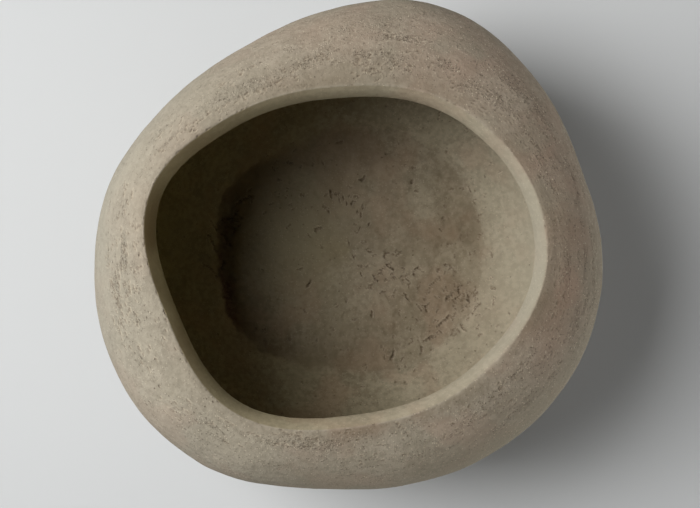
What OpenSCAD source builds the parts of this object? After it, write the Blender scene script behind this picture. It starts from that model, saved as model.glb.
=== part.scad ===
// Free-form floor planter: a low, pebble-shaped vessel of coarse fired clay.
// One thick shell swells to a soft, uneven girth, turns in over a sloping
// shoulder and stops at a wide mouth with a crisp slanting cut. The hollow
// runs back under the shoulder and down a bowl-shaped wall to a flat floor.
// Six rubber pads under the base keep the clay off the ground.

/* [Shell] */
// Width of the shell at its girth, side to side
shell_w = 702; // [560:1:900]
// Depth of the shell at its girth, front to back
shell_d = 680; // [560:1:900]
// Height of the shell without its pads
shell_h = 336; // [280:1:460]
// Height of the girth above the base
girth_h = 186; // [140:1:220]
// Thickness of the clay wall
wall = 28; // [18:1:36]
// Thickness of the clay floor
floor_t = 30; // [20:1:42]

/* [Mouth] */
// Width of the mouth at its outer edge
mouth_w = 524; // [420:1:540]
// Depth of the mouth at its outer edge
mouth_d = 449; // [360:1:500]
// Sideways place of the mouth's middle
mouth_x = -4; // [-20:1:20]
// Front to back place of the mouth's middle
mouth_y = -18; // [-30:1:20]
// Steepness of the slanting cut through the wall, in degrees
cut_angle = 65; // [50:1:85]
// Softness of the two edges of the cut
edge_round = 3; // [1:0.5:6]

/* [Base] */
// Width of the flat base
base_w = 372; // [300:1:460]
// Depth of the flat base
base_d = 334; // [280:1:430]
// Sideways place of the base's middle
base_x = 3; // [-15:1:15]
// Front to back place of the base's middle
base_y = -7; // [-20:1:15]
// Softness of the edge round the base
base_round = 6; // [2:1:12]
// Reach of the soft corner between the inner wall and the floor
floor_round = 16; // [6:1:24]

/* [Section] */
// Turn of the shoulder from upright to the mouth, in degrees
shoulder_turn = 80; // [60:1:86]
// Fullness of the shoulder, where 2 is a plain ellipse
shoulder_full = 2.3; // [2:0.1:3]
// Turn of the lower wall from upright to the base, in degrees
belly_turn = 50; // [40:1:65]

/* [Pads] */
// Diameter of a rubber pad
pad_d = 40; // [25:1:50]
// Thickness of a rubber pad
pad_h = 4; // [2:0.5:8]
// Distance from the edge of the base to a pad
pad_margin = 14; // [10:1:30]
// Bevel round the lower edge of a pad
pad_bevel = 1; // [0.5:0.5:1.5]

/* [Hidden] */

// Points in each level ring, and rings along each stretch of the wall
AROUND = 84;
BELLY_RINGS = 9;
SHOULDER_RINGS = 11;
EDGE_RINGS = 3;
FLOOR_RINGS = 5;
PADS = 6;

// The hand-shaped outlines, as direction in degrees and distance from the
// middle. Each has a point at its bulges and its flats, and is stretched to
// its width and depth.
GIRTH_SHAPE = [
    [20, 350], [65, 365], [120, 320], [175, 360],
    [225, 380], [270, 345], [300, 355], [340, 370]
];
MOUTH_SHAPE = [
    [0, 270], [50, 255], [95, 230], [130, 245], [160, 275],
    [200, 250], [230, 255], [275, 225], [320, 240]
];
BASE_SHAPE = [
    [5, 185], [45, 180], [90, 165], [130, 170], [155, 195],
    [180, 185], [220, 190], [260, 165], [290, 175], [325, 185]
];

// A closed curve through direction and distance points, with a smooth lean
function span(shape, i) =
    (shape[(i + 1) % len(shape)][0] - shape[i][0] + 360) % 360;
function climb(shape, i) =
    (shape[(i + 1) % len(shape)][1] - shape[i][1]) / span(shape, i);
function lean(shape, i) =
    let (before = (i + len(shape) - 1) % len(shape))
    (climb(shape, before) * span(shape, i) + climb(shape, i) * span(shape, before))
        / (span(shape, before) + span(shape, i));
function span_holding(shape, angle) =
    angle < shape[0][0]
        ? len(shape) - 1
        : max([for (i = [0 : len(shape) - 1]) if (shape[i][0] <= angle) i]);
function distance_at(shape, angle) =
    let (
        i = span_holding(shape, angle),
        j = (i + 1) % len(shape),
        s = ((angle - shape[i][0] + 360) % 360) / span(shape, i),
        reach = span(shape, i)
    )
    shape[i][1] * (2 * pow(s, 3) - 3 * pow(s, 2) + 1)
        + lean(shape, i) * reach * (pow(s, 3) - 2 * pow(s, 2) + s)
        + shape[j][1] * (3 * pow(s, 2) - 2 * pow(s, 3))
        + lean(shape, j) * reach * (pow(s, 3) - pow(s, 2));

// A flat ring of points on such a curve, stretched and set in its place
function curve_ring(shape) = [
    for (i = [0 : AROUND - 1])
        let (angle = 360 * i / AROUND, d = distance_at(shape, angle))
        [d * cos(angle), d * sin(angle)]
];
function low(ring, axis) = min([for (p = ring) p[axis]]);
function high(ring, axis) = max([for (p = ring) p[axis]]);
function fitted(ring, w, d, middle) =
    let (lx = low(ring, 0), hx = high(ring, 0), ly = low(ring, 1), hy = high(ring, 1))
    [for (p = ring) [
        middle.x + (p.x - (lx + hx) / 2) * w / (hx - lx),
        middle.y + (p.y - (ly + hy) / 2) * d / (hy - ly)
    ]];

// Rings moved in square to their own outline, raised, mixed and bent
function outward(ring, i) =
    let (run = ring[(i + 1) % AROUND] - ring[(i + AROUND - 1) % AROUND])
    [run.y, -run.x] / norm(run);
function drawn_in(ring, by) =
    [for (i = [0 : AROUND - 1]) ring[i] - by * outward(ring, i)];
function at_height(ring, z) = [for (p = ring) [p.x, p.y, z]];
function mixed(a, b, share) = a * (1 - share) + b * share;
function moved_to(a, b, by) =
    [for (i = [0 : AROUND - 1]) a[i] + by * (b[i] - a[i]) / norm(b[i] - a[i])];
function soft_corner(from, corner, to, rings) = [
    for (i = [0 : rings])
        let (s = i / rings)
        mixed(mixed(from, corner, s), mixed(corner, to, s), s)
];

// A ring of the shoulder, from the girth at share 0 to the mouth at share 1
function shoulder_ring(girth, mouth, z_girth, z_mouth, share) =
    let (
        power = 2 / shoulder_full,
        turn = share * shoulder_turn,
        end = pow(cos(shoulder_turn), power),
        out = (pow(cos(turn), power) - end) / (1 - end),
        up = pow(sin(turn), power) / pow(sin(shoulder_turn), power)
    )
    at_height(mixed(mouth, girth, out), z_girth + (z_mouth - z_girth) * up);

// A ring of the lower wall, from the girth at share 0 to the base at share 1
function belly_ring(girth, base, z_girth, z_base, share) =
    let (
        turn = share * belly_turn,
        out = 1 - (1 - cos(turn)) / (1 - cos(belly_turn)),
        down = sin(turn) / sin(belly_turn)
    )
    at_height(mixed(base, girth, out), z_girth - (z_girth - z_base) * down);

// The slope of the lower wall where it meets the base, and the place of the
// floor's corner straight through the wall from there
base_slope = atan(
    girth_h / tan(belly_turn) * (1 - cos(belly_turn))
        / ((shell_w - base_w) / 2 * sin(belly_turn))
);
floor_inset = wall * sin(base_slope) - (floor_t - wall * cos(base_slope)) / tan(base_slope);

// How much of each stretch is left to its soft corners
belly_run = norm([(shell_w - base_w) / 2, girth_h]);
shoulder_run = norm([(shell_w - mouth_w) / 2, shell_h - girth_h]);
belly_end = 1 - base_round / belly_run;
floor_end = 1 - floor_round / belly_run;
edge_end = 1 - edge_round / shoulder_run;

// Outlines of the outer and inner faces, and the heights of the hollow
girth_out = fitted(curve_ring(GIRTH_SHAPE), shell_w, shell_d, [0, 0]);
mouth_out = fitted(curve_ring(MOUTH_SHAPE), mouth_w, mouth_d, [mouth_x, mouth_y]);
base_out = fitted(curve_ring(BASE_SHAPE), base_w, base_d, [base_x, base_y]);
girth_in = drawn_in(girth_out, wall);
mouth_in = drawn_in(mouth_out, wall / tan(cut_angle));
floor_in = drawn_in(base_out, floor_inset);
lip_z = shell_h - wall;

// The rings of the whole skin, from the base up outside and down inside
outer_edge = at_height(mouth_out, shell_h);
inner_edge = at_height(mouth_in, lip_z);
skin = concat(
    soft_corner(
        at_height(drawn_in(base_out, base_round), 0),
        at_height(base_out, 0),
        belly_ring(girth_out, base_out, girth_h, 0, belly_end),
        EDGE_RINGS
    ),
    [for (i = [BELLY_RINGS - 1 : -1 : 1])
        belly_ring(girth_out, base_out, girth_h, 0, belly_end * i / BELLY_RINGS)],
    [for (i = [0 : SHOULDER_RINGS - 1])
        shoulder_ring(girth_out, mouth_out, girth_h, shell_h, edge_end * i / SHOULDER_RINGS)],
    soft_corner(
        shoulder_ring(girth_out, mouth_out, girth_h, shell_h, edge_end),
        outer_edge,
        moved_to(outer_edge, inner_edge, edge_round),
        EDGE_RINGS
    ),
    soft_corner(
        moved_to(inner_edge, outer_edge, edge_round),
        inner_edge,
        shoulder_ring(girth_in, mouth_in, girth_h, lip_z, edge_end),
        EDGE_RINGS
    ),
    [for (i = [SHOULDER_RINGS - 1 : -1 : 0])
        shoulder_ring(girth_in, mouth_in, girth_h, lip_z, edge_end * i / SHOULDER_RINGS)],
    [for (i = [1 : BELLY_RINGS - 1])
        belly_ring(girth_in, floor_in, girth_h, floor_t, floor_end * i / BELLY_RINGS)],
    soft_corner(
        belly_ring(girth_in, floor_in, girth_h, floor_t, floor_end),
        at_height(floor_in, floor_t),
        at_height(drawn_in(floor_in, floor_round), floor_t),
        FLOOR_RINGS
    )
);

// Rings joined by triangles, and closed by a fan at each end
module skinned(rings, bottom, top) {
    last = len(rings) - 1;
    tip = len(rings) * AROUND;
    function at(j, i) = j * AROUND + i % AROUND;
    polyhedron(
        points = concat([for (ring = rings) each ring], [bottom, top]),
        faces = concat(
            [for (i = [0 : AROUND - 1]) [tip, at(0, i), at(0, i + 1)]],
            [for (j = [0 : last - 1], i = [0 : AROUND - 1])
                [at(j, i), at(j + 1, i), at(j + 1, i + 1)]],
            [for (j = [0 : last - 1], i = [0 : AROUND - 1])
                [at(j, i), at(j + 1, i + 1), at(j, i + 1)]],
            [for (i = [0 : AROUND - 1]) [tip + 1, at(last, i + 1), at(last, i)]]
        )
    );
}

// Fired clay shell, standing on its pads
module body() {
    color([0.67, 0.63, 0.56])
        translate([0, 0, pad_h])
            skinned(skin, [base_x, base_y, 0], [base_x, base_y, floor_t]);
}

// One rubber pad, counted from the right round the base
pad_ring = drawn_in(base_out, pad_margin + pad_d / 2);
module foot_pad(number) {
    place = pad_ring[(number - 0.5) * AROUND / PADS];
    color([0.13, 0.13, 0.13])
        translate([place.x, place.y, 0])
            rotate_extrude($fn = 48)
                polygon([
                    [0, 0],
                    [pad_d / 2 - pad_bevel, 0],
                    [pad_d / 2, pad_bevel],
                    [pad_d / 2, pad_h],
                    [0, pad_h]
                ]);
}

body();
foot_pad(1);  // foot_pad_1
foot_pad(2);  // foot_pad_2
foot_pad(3);  // foot_pad_3
foot_pad(4);  // foot_pad_4
foot_pad(5);  // foot_pad_5
foot_pad(6);  // foot_pad_6
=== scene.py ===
# %% [markdown]
# # A free-form floor planter of coarse fired clay
#
# The planter is one thick shell: a pebble-shaped outside, a sloping shoulder, a wide mouth
# with a slanting cut through the wall, and a bowl-shaped hollow that runs back under the
# shoulder. Six rubber pads lie under the base. The imported model gives the true sizes, so
# the first step is to load it. Lengths are in metres. Where they are in millimetres, a
# comment says so, or MM turns them into metres.

# %% Load the imported model
import math

import bpy
import numpy as np
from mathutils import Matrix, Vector, kdtree, noise


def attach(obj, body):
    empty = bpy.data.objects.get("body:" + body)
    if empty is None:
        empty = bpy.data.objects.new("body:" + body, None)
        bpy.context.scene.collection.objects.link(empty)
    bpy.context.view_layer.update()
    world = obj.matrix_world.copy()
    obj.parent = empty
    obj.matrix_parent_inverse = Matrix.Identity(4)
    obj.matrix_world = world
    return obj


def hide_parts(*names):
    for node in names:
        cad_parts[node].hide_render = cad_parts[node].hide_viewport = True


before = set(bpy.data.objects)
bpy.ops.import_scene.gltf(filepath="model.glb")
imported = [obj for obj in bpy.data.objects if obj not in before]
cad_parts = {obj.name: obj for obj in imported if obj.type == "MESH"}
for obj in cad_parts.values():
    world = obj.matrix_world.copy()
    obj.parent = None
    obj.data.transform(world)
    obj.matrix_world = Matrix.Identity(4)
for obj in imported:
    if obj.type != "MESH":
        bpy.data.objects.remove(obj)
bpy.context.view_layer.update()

# %% [markdown]
# ## The camera and the floor
#
# The photograph looks straight down on the planter, so the camera hangs above it and
# points at the ground. From further up, with a longer lens, less of the inner wall would
# show, and from nearer more: 2.25 m shows about as much of it as the photograph does. The
# lens follows from how wide the planter is in the picture.

# %% Camera above the planter
CAMERA_HEIGHT = 2.25
CAMERA_X = 0.002
CAMERA_Y = -0.013
LENS_MM = 75.5


def put_in_scene(name, data):
    """A new object in the scene, made from its data."""
    made = bpy.data.objects.new(name, data)
    bpy.context.scene.collection.objects.link(made)
    return made


camera_data = bpy.data.cameras.new("camera")
camera_data.lens = LENS_MM
camera = put_in_scene("camera", camera_data)
camera.location = (CAMERA_X, CAMERA_Y, CAMERA_HEIGHT)
bpy.context.scene.camera = camera
print("camera", CAMERA_HEIGHT, "m above the floor, lens", LENS_MM, "mm")

# %% [markdown]
# The floor, the world and every finish are node trees. In Blender's editor they are boxes
# joined by wires. In a script each box takes several lines, so a few helpers add one node
# each, wire up what feeds it, and hand back what comes out.

# %% Helpers that keep node trees short to write
def node(tree, kind, inputs=None, **settings):
    """Adds a shader node, sets its properties, and fills or links its inputs."""
    made = tree.nodes.new(kind)
    for name, value in settings.items():
        setattr(made, name, value)
    for name, value in (inputs or {}).items():
        if isinstance(value, bpy.types.NodeSocket):
            tree.links.new(value, made.inputs[name])
        else:
            made.inputs[name].default_value = value
    return made


def emptied(owner):
    """The node tree of a material or a world, with nothing in it."""
    owner.use_nodes = True
    owner.node_tree.nodes.clear()
    return owner.node_tree


def maths(tree, operation, first, second=0.0):
    """The result of a Math node."""
    return node(tree, "ShaderNodeMath", {0: first, 1: second}, operation=operation).outputs[0]


def times(tree, first, second):
    """One value multiplied by another."""
    return maths(tree, "MULTIPLY", first, second)


def plus(tree, first, second):
    """The sum of two values."""
    return maths(tree, "ADD", first, second)


def larger(tree, first, second):
    """The larger of two values."""
    return maths(tree, "MAXIMUM", first, second)


def softly(tree, value, low, high, to_low=0.0, to_high=1.0):
    """A value mapped from one range to another, with a soft change between them."""
    made = node(
        tree,
        "ShaderNodeMapRange",
        {"Value": value, "From Min": low, "From Max": high, "To Min": to_low, "To Max": to_high},
        interpolation_type="SMOOTHSTEP",
    )
    return made.outputs["Result"]


def blended(tree, share, under, over, way="MIX"):
    """A colour with another laid over it by share, or multiplied by it."""
    made = node(
        tree, "ShaderNodeMix", {"Factor": share, "A": under, "B": over},
        data_type="RGBA", blend_type=way,
    )
    return made.outputs["Result"]


# %% [markdown]
# The floor is pale to the eye, but throws back little light, so that the hollow stays as
# dark as in the photograph. Further out, where the lamps don't reach, it fades into a
# plain pale backdrop that glows for the eye alone. The world has the same tone, so views
# from low down show no edge between the two.

# %% Pale floor
FLOOR_SIZE = 12.0
FLOOR_COLOUR = (0.62, 0.63, 0.63, 1)
FLOOR_BOUNCE = (0.20, 0.20, 0.20, 1)
FADE_FROM = 1.1
FADE_TO = 3.2


def seen_directly(tree):
    """1 for what the eye sees, straight or in a gloss or through glass, and 0 for light."""
    rays = node(tree, "ShaderNodeLightPath").outputs
    seen = larger(tree, rays["Is Camera Ray"], rays["Is Glossy Ray"])
    return larger(tree, seen, rays["Is Transmission Ray"])


def floor_material():
    """Matt floor near the planter, and a pale glow for the eye further out."""
    material = bpy.data.materials.new("pale_floor")
    tree = emptied(material)
    seen = seen_directly(tree)
    colour = blended(tree, seen, FLOOR_BOUNCE, FLOOR_COLOUR)
    matt = node(tree, "ShaderNodeBsdfDiffuse", {"Color": colour})
    glow = node(tree, "ShaderNodeEmission", {"Color": FLOOR_COLOUR, "Strength": 1.0})
    place = node(tree, "ShaderNodeTexCoord").outputs["Object"]
    distance = node(tree, "ShaderNodeVectorMath", {0: place}, operation="LENGTH")
    far = softly(tree, distance.outputs["Value"], FADE_FROM, FADE_TO)
    both = node(tree, "ShaderNodeMixShader", {"Fac": times(tree, far, seen)})
    tree.links.new(matt.outputs["BSDF"], both.inputs[1])
    tree.links.new(glow.outputs["Emission"], both.inputs[2])
    node(tree, "ShaderNodeOutputMaterial", {"Surface": both.outputs["Shader"]})
    return material


half = FLOOR_SIZE / 2
floor_corners = [(-half, -half, 0), (half, -half, 0), (half, half, 0), (-half, half, 0)]
floor_mesh = bpy.data.meshes.new("floor")
floor_mesh.from_pydata(floor_corners, [], [(0, 1, 2, 3)])
floor_mesh.materials.append(floor_material())
floor = put_in_scene("floor", floor_mesh)
print("floor", FLOOR_SIZE, "m wide, which fades out from", FADE_FROM, "to", FADE_TO, "m")

# %% [markdown]
# ## Light
#
# In the photograph one broad, soft light comes in from the left and a little from the top
# of the picture, low enough to leave the left inner wall dark. A large area lamp does
# that. The other shoulders are far from black while the hollow stays dark, so some light
# also comes in low from the other sides and passes over the mouth. Three weaker lamps
# near the floor give it, on the right, in front and behind. The world adds next to
# nothing, because light from all round would fill the hollow. Each lamp has a grid in
# front of it, as in a studio, which keeps its light on the planter and off the floor
# beside the lamp.

# %% Lamps and world
LAMPS = (
    # name, place, width and height, watts
    ("window_light", (-2.03, 0.45, 2.1), (2.0, 2.8), 42),
    ("low_light_right", (2.75, -0.5, 0.45), (3.6, 0.5), 13.5),
    ("low_light_front", (0, -2.8, 0.45), (1.8, 0.8), 4.2),
    ("low_light_back", (0, 2.8, 0.45), (1.8, 0.8), 3.2),
)
LAMP_AIM = (0, 0, 0.2)
GRID_SPREAD = math.radians(90)
WORLD_STRENGTH = 0.02


def soft_lamp(name, place, size, watts):
    """A rectangular area lamp with a grid, at place, that points at the planter."""
    data = bpy.data.lights.new(name, "AREA")
    data.shape = "RECTANGLE"
    data.size, data.size_y = size
    data.energy = watts
    data.spread = GRID_SPREAD
    lamp = put_in_scene(name, data)
    lamp.location = place
    lamp.rotation_euler = (Vector(LAMP_AIM) - Vector(place)).to_track_quat("-Z", "Y").to_euler()


for lamp in LAMPS:
    soft_lamp(*lamp)

world = bpy.data.worlds.new("soft_room")
world_tree = emptied(world)
strength = softly(world_tree, seen_directly(world_tree), 0.0, 1.0, WORLD_STRENGTH, 1.0)
backdrop = node(
    world_tree, "ShaderNodeBackground", {"Color": FLOOR_COLOUR, "Strength": strength}
)
node(world_tree, "ShaderNodeOutputWorld", {"Surface": backdrop.outputs["Background"]})
bpy.context.scene.world = world
bpy.context.scene.view_settings.view_transform = "Standard"
print(len(LAMPS), "lamps of", round(sum(lamp[-1] for lamp in LAMPS), 1), "watts in all")

# %% [markdown]
# ## The clay shell as an even net
#
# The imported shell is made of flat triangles. Fired clay has no flats, so it needs a finer,
# smooth skin. Subdividing would do, but it would spend most of its faces at the mouth's
# edges. Instead the rings that the shell is built from are found again, and new rings are
# drawn through them at a spacing chosen for each stretch. Every point then also knows
# where it lies along the wall, which the marks and finishes below make use of.

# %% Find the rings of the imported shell
# Points nearer to each other than a micron are one
MICRONS = 1e6
# Only the middles of the base and of the floor have more neighbours than this
MANY_NEIGHBOURS = 20


def welded(mesh):
    """The points of a mesh with doubles merged, and each point's neighbours."""
    co = np.empty(len(mesh.vertices) * 3, np.float64)
    mesh.vertices.foreach_get("co", co)
    keys = np.round(co.reshape(-1, 3) * MICRONS).astype(np.int64)
    points, index = np.unique(keys, axis=0, return_inverse=True)
    index = index.ravel()
    neighbours = [set() for _ in points]
    for edge in mesh.edges:
        a, b = index[edge.vertices[0]], index[edge.vertices[1]]
        if a != b:
            neighbours[a].add(b)
            neighbours[b].add(a)
    return points / MICRONS, neighbours


def rings_from(points, neighbours, start):
    """Walks outwards from start: the closed rings it meets, and the point where it ends."""
    seen = {start}
    front = neighbours[start]
    rings = []
    while len(front) > 1:
        order = sorted(front, key=lambda i: math.atan2(points[i][1], points[i][0]))
        ring = points[order]
        if rings:
            shift = np.argmin(np.linalg.norm(ring - rings[-1][0], axis=1))
            ring = np.roll(ring, -shift, axis=0)
        rings.append(ring)
        seen |= front
        front = set().union(*(neighbours[i] for i in front)) - seen
    return np.array(rings), points[front.pop()]


points, neighbours = welded(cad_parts["body"].data)
middles = [i for i, near in enumerate(neighbours) if len(near) > MANY_NEIGHBOURS]
lower_middle = min(middles, key=lambda i: points[i][2])
base_middle = points[lower_middle]
rings, floor_middle = rings_from(points, neighbours, lower_middle)
print(len(rings), "rings of", rings.shape[1], "points; the floor's middle is at", floor_middle)

# %% [markdown]
# The rings follow each other up the outside, over the mouth and down the inside. Each
# stretch gets its own spacing: close where the photograph shows small marks, wider under
# the shoulder where hardly anything is seen. Round the shell, each ring is a closed loop,
# so its waves (its Fourier series) give as many points on the same smooth loop as wanted.
# Along the wall, a cubic curve runs through the rings.

# %% Spacing of the net along the wall
MM = 0.001
COLUMNS = 960
STRETCHES = (
    # what it is, the last ring it reaches, and the most that its rows lie apart
    ("base edge", 3, 2.0 * MM),
    ("lower wall", 12, 3.4 * MM),
    ("shoulder", 23, 1.9 * MM),
    ("outer edge of the mouth", 26, 0.8 * MM),
    ("cut", 27, 2.0 * MM),
    ("inner edge of the mouth", 30, 0.8 * MM),
    ("under the shoulder", 41, 7.0 * MM),
    ("upper inner wall", 45, 3.2 * MM),
    ("lower inner wall", 50, 2.0 * MM),
    ("floor corner", 55, 1.8 * MM),
)
FLOOR_SPACING = 1.8 * MM
BASE_SPACING = 20 * MM
# The rings in the two soft edges of the cut where its finish begins and ends
CUT_BEGINS, CUT_ENDS = 25, 28
last_ring = {name: ring for name, ring, _ in STRETCHES}


def spacing_after(ring):
    """The spacing of the stretch that starts at a ring."""
    return next(spacing for _, last, spacing in STRETCHES if ring < last)


print("stretches of the wall:", ", ".join(last_ring))


# %% Resample round the shell and along the wall
def finer_round(loops, columns):
    """Closed loops with more points, on the smooth loops through those they have."""
    waves = np.fft.rfft(loops, axis=1)
    return np.fft.irfft(waves, columns, axis=1) * (columns / loops.shape[1])


def finer_along(loops):
    """Rows on cubic curves through the loops, and the ring number of each row."""
    gaps = np.linalg.norm(np.diff(loops, axis=0), axis=2).mean(axis=1)
    slopes = np.diff(loops, axis=0) / gaps[:, None, None]
    before, after = gaps[:-1, None, None], gaps[1:, None, None]
    leans = np.concatenate(
        [slopes[:1], (slopes[:-1] * after + slopes[1:] * before) / (before + after), slopes[-1:]]
    )
    rows, stations = [], []
    for j, gap in enumerate(gaps):
        count = math.ceil(gap / spacing_after(j))
        for s in np.arange(count) / count:
            rows.append(
                loops[j] * (2 * s**3 - 3 * s**2 + 1)
                + leans[j] * gap * (s**3 - 2 * s**2 + s)
                + loops[j + 1] * (3 * s**2 - 2 * s**3)
                + leans[j + 1] * gap * (s**3 - s**2)
            )
            stations.append(j + s)
    return rows + [loops[-1]], stations + [len(loops) - 1.0]


def towards_middle(loop, middle, spacing):
    """Rows from a loop in towards its middle, without the loop itself."""
    count = math.ceil(np.linalg.norm(loop - middle, axis=1).mean() / spacing)
    return [loop + (middle - loop) * k / count for k in range(1, count)]


loops = finer_round(rings, COLUMNS)
wall_rows, wall_stations = finer_along(loops)
base_rows = towards_middle(loops[0], base_middle, BASE_SPACING)[::-1]
floor_rows = towards_middle(loops[-1], floor_middle, FLOOR_SPACING)
net = np.array(base_rows + wall_rows + floor_rows)
station = np.array(
    [-1.0] * len(base_rows) + wall_stations + [len(rings) + 0.0] * len(floor_rows)
)
print("net of", net.shape[0], "rows and", net.shape[1], "columns")

# %% [markdown]
# Marks are pressed square to the surface and turned to lie along the wall, so each point
# of the net gets three directions: out of the clay, round the shell, and along the wall.

# %% Directions and distances on the net
TINY = 1e-12


def unit(vectors):
    """Vectors made one long."""
    return vectors / np.maximum(np.linalg.norm(vectors, axis=-1, keepdims=True), TINY)


round_way = unit(np.roll(net, -1, axis=1) - np.roll(net, 1, axis=1))
along_way = unit(np.gradient(net, axis=0))
out_way = unit(np.cross(round_way, along_way))
steps = np.linalg.norm(np.diff(net, axis=0), axis=2).mean(axis=1)
along = np.concatenate([[0], np.cumsum(steps)])
turn = np.arange(COLUMNS) * 2 * np.pi / COLUMNS
first_angle = math.atan2(net[len(base_rows), 0, 1], net[len(base_rows), 0, 0])
angle_of = turn + first_angle
print("from the middle of the base to the middle of the floor:", round(along[-1], 3), "m")


def soft_step(value, low, high):
    """0 below low and 1 above high, with a soft change between them."""
    t = np.clip((value - low) / (high - low), 0, 1)
    return t * t * (3 - 2 * t)


def row_at(ring):
    """The row that lies nearest to a ring number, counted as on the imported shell."""
    return int(np.argmin(np.abs(station - ring)))


def column_at(degrees):
    """The column in a direction, counted from the right against the clock."""
    return round((math.radians(degrees) - first_angle) / (2 * np.pi) * COLUMNS) % COLUMNS


# %% [markdown]
# ## Built by hand
#
# A hand-built wall is never quite true. It swells and sinks by a millimetre or two where
# slabs were joined and paddled, and it has shallower dents, longer round the shell than
# across, from the rib that smoothed it. A sum of waves in random directions gives both.
# The same thing could be done by displacement in the material, but then the mesh itself
# wouldn't have it. The underside stays flat, because the pads are stuck to it.

# %% Swells and dents
# Each layer's height in millimetres and the length of its waves
SWELLS = ((1.5, 0.17), (0.3, 0.07))
FLOOR_DENTS = ((1.1, 0.045), (0.75, 0.018))
# The same, and how many times shorter the waves are along the wall than round it
WALL_DENTS = ((0.26, 0.085, 2.6), (0.14, 0.030, 3.0))
# The share of them that is missing on the cut and on the floor
CUT_LESS_SWELL, CUT_LESS_DENTS, FLOOR_LESS_SWELL = 0.7, 0.8, 0.6
# Places along and round the wall are measured as if it were a straight drum of this radius
DRUM_RADIUS = 0.30
SEED = 7
rng = np.random.default_rng(SEED)


def random_waves(places, length, count=28):
    """A smooth uneven field between -1 and 1 whose waves are about length long."""
    ways = unit(rng.normal(size=(count, 3)))
    lengths = length * rng.uniform(0.7, 1.6, count)
    phases = rng.uniform(0, 2 * np.pi, count)
    field = np.zeros(places.shape[:-1])
    for way, wave, phase in zip(ways, lengths, phases):
        field += np.sin(places @ way * (2 * np.pi / wave) + phase)
    return np.tanh(field / math.sqrt(count / 2))


def layered(places, layers):
    """The sum of such fields, each given by its height and the length of its waves."""
    return sum(height * random_waves(places, length) for height, length in layers)


def patches(middle, swing, length):
    """An uneven share about a middle one, in patches about length long."""
    return middle + swing * random_waves(net, length)


wall_place = np.empty_like(net)
wall_place[..., 0] = np.cos(turn) * DRUM_RADIUS
wall_place[..., 1] = np.sin(turn) * DRUM_RADIUS
wall_place[..., 2] = along[:, None]

# By ring number: 1 above the edge of the base, on the cut, and on the floor
free = soft_step(station, 3, 6)[:, None]
on_cut = (soft_step(station, 21, 24) * (1 - soft_step(station, 29, 32)))[:, None]
on_floor = soft_step(station, 50, 54)[:, None]

swell = layered(net, SWELLS)
wall_dents = sum(
    height * random_waves(wall_place * (1, 1, shorter), length)
    for height, length, shorter in WALL_DENTS
)
dents = wall_dents * (1 - on_floor) + layered(net, FLOOR_DENTS) * on_floor
push = free * (swell * (1 - CUT_LESS_SWELL * on_cut) * (1 - FLOOR_LESS_SWELL * on_floor))
push += free * (1 - CUT_LESS_DENTS * on_cut) * dents
push *= MM
print("swells and dents from", push.min() / MM, "to", push.max() / MM, "mm")

# %% [markdown]
# Where the wall meets the floor, the finger that pressed the two together has run a
# shallow groove all round. It makes the corner read as a line, as it does in the
# photograph, deeper on the left than elsewhere.

# %% Groove in the corner of the hollow
GROOVE_RING = 50.6
GROOVE_ON_WALL = 11 * MM
GROOVE_ON_FLOOR = 18 * MM
GROOVE_DEPTH = 4.4 * MM
GROOVE_MORE_LEFT = 2.0 * MM
LEFT_SIDE = math.radians(178)
# How far the corner's line strays, in millimetres, and the length of its waves
RAGGED_EDGE = ((2.6, 0.030), (1.3, 0.011))

wall_span = slice(len(base_rows), len(base_rows) + len(wall_rows))


def around_ring(ring, before, after, ragged=0.0):
    """1 on a ring, fading out over a reach before it and another one after it."""
    away = along - np.interp(ring, station[wall_span], along[wall_span])
    away = away[:, None] + ragged
    return np.exp(-((away / np.where(away < 0, before, after)) ** 2))


def towards(side, focus):
    """1 in a direction, falling to 0 a quarter turn away, the faster the larger focus is."""
    return np.clip(np.cos(angle_of - side), 0, 1) ** focus


left_share = towards(LEFT_SIDE, 1.5)
ragged_edge = layered(net, RAGGED_EDGE) * MM
groove = around_ring(GROOVE_RING, GROOVE_ON_WALL, GROOVE_ON_FLOOR, ragged_edge)
groove_depth = GROOVE_DEPTH + GROOVE_MORE_LEFT * left_share
push -= groove * patches(0.8, 0.35, 0.06) * groove_depth
print("groove about", round(float((groove * groove_depth).max() / MM), 1), "mm deep on the left")

# %% [markdown]
# ## Pits and tears
#
# The clay is full of coarse fired grit. Where the rib caught a grain, it tore a pit and
# dragged it into a short groove with a raised lip. On the outside the pits lie in strings
# round the shell. Inside, where the hand worked in all directions, they lie in loose
# clusters. Each mark is pressed into the net on its own, because bump alone leaves a
# smooth mesh and flat edges. Its ragged outline comes from noise a few millimetres long.
# Its hollow is coloured dark, as dust and painted shade, and its raised lip pale, as grit
# and painted highlight. A stain spreads a little past it, hardly any in the strings and
# more elsewhere.

# %% A helper that presses one mark
# How uneven the outline of a mark is, and over what length
RAGGED, RAGGED_SIZE = 0.45, 4.0 * MM
# How far from its middle a mark can reach: a share of its larger size, and a margin
TOUCH_SHARE, TOUCH_MARGIN = 0.8, 2 * MM
# Where the groove of a ring-shaped mark and the raised lip lie, and how wide they are, in
# shares of half the mark's width
RING_AT, RING_WIDTH = 0.8, 0.22
LIP_AT, LIP_WIDTH = 1.2, 0.25
# Above 1, the hollow's edge runs out softly
HOLLOW_POWER = 1.3
# How dark a mark's hollow is painted, as dust and painted shade, and the stain round it,
# and how far the stain reaches
HOLLOW_DARK = 1.6
STAIN = 0.42
STAIN_REACH = 1.25

flat_net = net.reshape(-1, 3)
flat_out = out_way.reshape(-1, 3)
marks = np.zeros(len(flat_net))
torn = np.zeros(len(flat_net))
lips = np.zeros(len(flat_net))

tree_of_points = kdtree.KDTree(len(flat_net))
for i, place in enumerate(flat_net):
    tree_of_points.insert(place, i)
tree_of_points.balance()


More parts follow.
